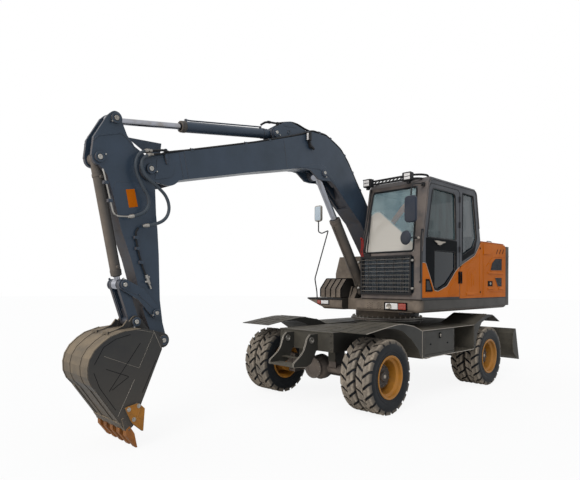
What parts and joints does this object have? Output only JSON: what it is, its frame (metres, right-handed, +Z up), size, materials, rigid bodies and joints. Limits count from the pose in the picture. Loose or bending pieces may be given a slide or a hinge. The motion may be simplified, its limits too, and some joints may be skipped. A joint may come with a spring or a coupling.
{
  "type": "wheeled excavator",
  "caption": "Wheeled excavator with twin tyres, a slewing cab and engine house, a one-piece boom, an arm, a digging bucket and a rear dozer blade.",
  "frame": {"origin": "on the ground, midway along and across the machine's overall box at rest", "axes": "+Z up, -Y forward where the boom points, +X the machine's left side, where the cab is"},
  "size_m": [2.27, 8.013, 3.9199],
  "materials": {
    "chassis_paint": "satin dark grey paint",
    "body_paint": "satin dark grey paint",
    "boom_paint": "satin slate paint",
    "orange_paint": "gloss orange paint",
    "rim_paint": "gloss yellow-orange paint",
    "cab_paint": "satin charcoal paint",
    "cast_metal": "rough dark casting",
    "bucket_steel": "worn dark steel",
    "steel": "machined",
    "rod_chrome": "polished",
    "tyre_rubber": "black rubber with dusty tread",
    "hose_rubber": "black rubber",
    "pane": "clear",
    "seat_cloth": "woven",
    "plastic": "grained"
  },
  "bodies": {
    "chassis": {"chassis_frame": "chassis_paint", "slew_ring": "steel", "toolboxes": "chassis_paint", "front_fenders": "chassis_paint", "rear_fenders": "chassis_paint", "front_step": "chassis_paint", "front_axle": "cast_metal", "rear_axle": "cast_metal", "drive_line": "cast_metal"},
    "upper_body": {"platform": "body_paint", "counterweight": "cast_metal", "cab_frame": "cab_paint", "cab_glazing": "pane", "front_grille": "steel", "seat": "seat_cloth", "cab_controls": "plastic", "engine_block": "cast_metal", "engine_bay": "body_paint", "right_tanks": "body_paint", "right_top_cover": "body_paint", "exhaust": "steel", "mirrors": "plastic", "lamps": "plastic"},
    "left_toolbox_door": {"left_toolbox_door": "chassis_paint"},
    "left_knuckle": {"left_knuckle": "cast_metal"},
    "right_toolbox_door": {"right_toolbox_door": "chassis_paint"},
    "right_knuckle": {"right_knuckle": "cast_metal"},
    "tie_rod": {"tie_rod": "steel"},
    "front_left_wheels": {"front_left_tyres": "tyre_rubber", "front_left_rims": "rim_paint"},
    "front_right_wheels": {"front_right_tyres": "tyre_rubber", "front_right_rims": "rim_paint"},
    "rear_left_wheels": {"rear_left_tyres": "tyre_rubber", "rear_left_rims": "rim_paint"},
    "rear_right_wheels": {"rear_right_tyres": "tyre_rubber", "rear_right_rims": "rim_paint"},
    "dozer_blade": {"dozer_blade": "chassis_paint"},
    "blade_cylinder_barrels": {"blade_cylinder_barrels": "chassis_paint"},
    "blade_cylinder_rods": {"blade_cylinder_rods": "rod_chrome"},
    "left_service_door": {"left_service_door": "orange_paint"},
    "left_rear_door": {"left_rear_door": "orange_paint"},
    "right_rear_door": {"right_rear_door": "orange_paint"},
    "engine_hood": {"engine_hood": "orange_paint"},
    "right_front_cover": {"right_front_cover": "body_paint"},
    "arm": {"arm": "boom_paint"},
    "boom_cylinder_barrel": {"boom_cylinder_barrel": "boom_paint"},
    "boom_cylinder_rod": {"boom_cylinder_rod": "rod_chrome"},
    "arm_cylinder_barrel": {"arm_cylinder_barrel": "boom_paint"},
    "arm_cylinder_rod": {"arm_cylinder_rod": "rod_chrome"},
    "bucket_cylinder_barrel": {"bucket_cylinder_barrel": "boom_paint"},
    "bucket_cylinder_rod": {"bucket_cylinder_rod": "rod_chrome"},
    "rockers": {"rockers": "boom_paint"},
    "bucket_link": {"bucket_link": "boom_paint"},
    "bucket": {"bucket": "bucket_steel"},
    "cab_door": {"cab_door": "orange_paint", "cab_door_glass": "pane"},
    "boom": {"boom": "boom_paint", "arm_hose": "hose_rubber", "bucket_hose": "hose_rubber"}
  },
  "joints": [
    {"name": "slew", "type": "hinge", "parent": "chassis", "child": "upper_body", "pos_m": [0, 1.3445, 1.2], "axis": [0, 0, 1], "continuous": true},
    {"name": "left_steering", "type": "hinge", "parent": "chassis", "child": "left_knuckle", "pos_m": [0.57, -0.3555, 0.487], "axis": [0, 0, 1], "range_deg": [-24, 24]},
    {"name": "right_steering", "type": "hinge", "parent": "chassis", "child": "right_knuckle", "pos_m": [-0.57, -0.3555, 0.487], "axis": [0, 0, 1], "range_deg": [-24.5, 24.5]},
    {"name": "tie_rod_slide", "type": "slide", "parent": "chassis", "child": "tie_rod", "axis": [1, 0, 0], "range_m": [-0.08, 0.08]},
    {"name": "front_left_wheels_spin", "type": "hinge", "parent": "left_knuckle", "child": "front_left_wheels", "pos_m": [0.905, -0.3555, 0.487], "axis": [1, 0, 0], "continuous": true},
    {"name": "front_right_wheels_spin", "type": "hinge", "parent": "right_knuckle", "child": "front_right_wheels", "pos_m": [-0.905, -0.3555, 0.487], "axis": [1, 0, 0], "continuous": true},
    {"name": "rear_left_wheels_spin", "type": "hinge", "parent": "chassis", "child": "rear_left_wheels", "pos_m": [0.905, 2.6445, 0.487], "axis": [1, 0, 0], "continuous": true},
    {"name": "rear_right_wheels_spin", "type": "hinge", "parent": "chassis", "child": "rear_right_wheels", "pos_m": [-0.905, 2.6445, 0.487], "axis": [1, 0, 0], "continuous": true},
    {"name": "left_toolbox_door_hinge", "type": "hinge", "parent": "chassis", "child": "left_toolbox_door", "pos_m": [1.12, 0.9445, 0.692], "axis": [0, 1, 0], "range_deg": [0, 95]},
    {"name": "right_toolbox_door_hinge", "type": "hinge", "parent": "chassis", "child": "right_toolbox_door", "pos_m": [-1.12, 0.9445, 0.692], "axis": [0, -1, 0], "range_deg": [0, 95]},
    {"name": "blade_lift", "type": "hinge", "parent": "chassis", "child": "dozer_blade", "pos_m": [0, 3.1945, 0.56], "axis": [1, 0, 0], "range_deg": [-22, 12]},
    {"name": "blade_barrel_swing", "type": "hinge", "parent": "chassis", "child": "blade_cylinder_barrels", "pos_m": [0, 3.3145, 0.93], "axis": [1, 0, 0], "range_deg": [-14.97, 8.37]},
    {"name": "blade_rod_slide", "type": "slide", "parent": "blade_cylinder_barrels", "child": "blade_cylinder_rods", "axis": [0, 0.7875, -0.6163], "range_m": [-0.0797, 0.1425]},
    {"name": "cab_door_hinge", "type": "hinge", "parent": "upper_body", "child": "cab_door", "pos_m": [1.055, 1.7195, 2.3], "axis": [0, 0, 1], "range_deg": [0, 85]},
    {"name": "left_service_door_hinge", "type": "hinge", "parent": "upper_body", "child": "left_service_door", "pos_m": [1.055, 2.5505, 1.9], "axis": [0, 0, 1], "range_deg": [0, 90]},
    {"name": "left_rear_door_hinge", "type": "hinge", "parent": "upper_body", "child": "left_rear_door", "pos_m": [1.055, 3.5005, 1.9], "axis": [0, 0, 1], "range_deg": [0, 90]},
    {"name": "right_rear_door_hinge", "type": "hinge", "parent": "upper_body", "child": "right_rear_door", "pos_m": [-1.019, 3.5005, 1.9], "axis": [0, 0, -1], "range_deg": [0, 90]},
    {"name": "engine_hood_hinge", "type": "hinge", "parent": "upper_body", "child": "engine_hood", "pos_m": [0.18, 2.5245, 2.41], "axis": [1, 0, 0], "range_deg": [0, 60]},
    {"name": "right_front_cover_hinge", "type": "hinge", "parent": "upper_body", "child": "right_front_cover", "pos_m": [-0.56, 1.0995, 1.77], "axis": [-1, 0, 0], "range_deg": [0, 60]},
    {"name": "boom_lift", "type": "hinge", "parent": "upper_body", "child": "boom", "pos_m": [-0.15, 1.5445, 1.72], "axis": [-1, 0, 0], "range_deg": [-30, 32]},
    {"name": "boom_barrel_swing", "type": "hinge", "parent": "upper_body", "child": "boom_cylinder_barrel", "pos_m": [-0.15, 0.8855, 1.56], "axis": [-1, 0, 0], "range_deg": [-35.61, 37.89]},
    {"name": "boom_rod_slide", "type": "slide", "parent": "boom_cylinder_barrel", "child": "boom_cylinder_rod", "axis": [0, -0.5625, 0.8268], "range_m": [-0.3157, 0.3359]},
    {"name": "arm_swing", "type": "hinge", "parent": "boom", "child": "arm", "pos_m": [-0.15, -3.2275, 2.914], "axis": [1, 0, 0], "range_deg": [-62, 42]},
    {"name": "arm_barrel_swing", "type": "hinge", "parent": "boom", "child": "arm_cylinder_barrel", "pos_m": [-0.15, -1.2605, 3.71], "axis": [1, 0, 0], "range_deg": [-6.52, 4.48]},
    {"name": "arm_rod_slide", "type": "slide", "parent": "arm_cylinder_barrel", "child": "arm_cylinder_rod", "axis": [0, -0.9905, -0.1377], "range_m": [-0.6023, 0.4143]},
    {"name": "bucket_curl", "type": "hinge", "parent": "arm", "child": "bucket", "pos_m": [-0.15, -3.0565, 1.057], "axis": [1, 0, 0], "range_deg": [-2, 140]},
    {"name": "bucket_link_pivot", "type": "hinge", "parent": "bucket", "child": "bucket_link", "pos_m": [-0.15, -3.3955, 1.276], "axis": [1, 0, 0], "range_deg": [-108.56, 3.68]},
    {"name": "rocker_pivot", "type": "hinge", "parent": "arm", "child": "rockers", "pos_m": [-0.15, -3.1475, 1.36], "axis": [1, 0, 0], "range_deg": [-4.02, 118.56]},
    {"name": "bucket_barrel_swing", "type": "hinge", "parent": "arm", "child": "bucket_cylinder_barrel", "pos_m": [-0.15, -3.8005, 2.952], "axis": [1, 0, 0], "range_deg": [-2.14, 0.07]},
    {"name": "bucket_rod_slide", "type": "slide", "parent": "bucket_cylinder_barrel", "child": "bucket_cylinder_rod", "axis": [0, 0.2042, -0.9789], "range_m": [-0.0304, 0.8975]}
  ],
  "couplings": [
    {"joint": "right_steering", "follows": "left_steering", "ratio": 1},
    {"joint": "tie_rod_slide", "follows": "left_steering", "m_per_rad": -0.185},
    {"joint": "blade_barrel_swing", "follows": "blade_lift", "ratio": 0.66},
    {"joint": "blade_rod_slide", "follows": "blade_lift", "m_per_rad": -0.36},
    {"joint": "boom_barrel_swing", "follows": "boom_lift", "ratio": 1.14},
    {"joint": "boom_rod_slide", "follows": "boom_lift", "m_per_rad": 0.579},
    {"joint": "arm_barrel_swing", "follows": "arm_swing", "ratio": 0.1017},
    {"joint": "arm_rod_slide", "follows": "arm_swing", "m_per_rad": 0.5385},
    {"joint": "bucket_link_pivot", "follows": "bucket_curl", "ratio": -0.76},
    {"joint": "rocker_pivot", "follows": "bucket_curl", "ratio": 0.83},
    {"joint": "bucket_barrel_swing", "follows": "bucket_curl", "ratio": -0.015},
    {"joint": "bucket_rod_slide", "follows": "bucket_curl", "m_per_rad": 0.36}
  ]
}
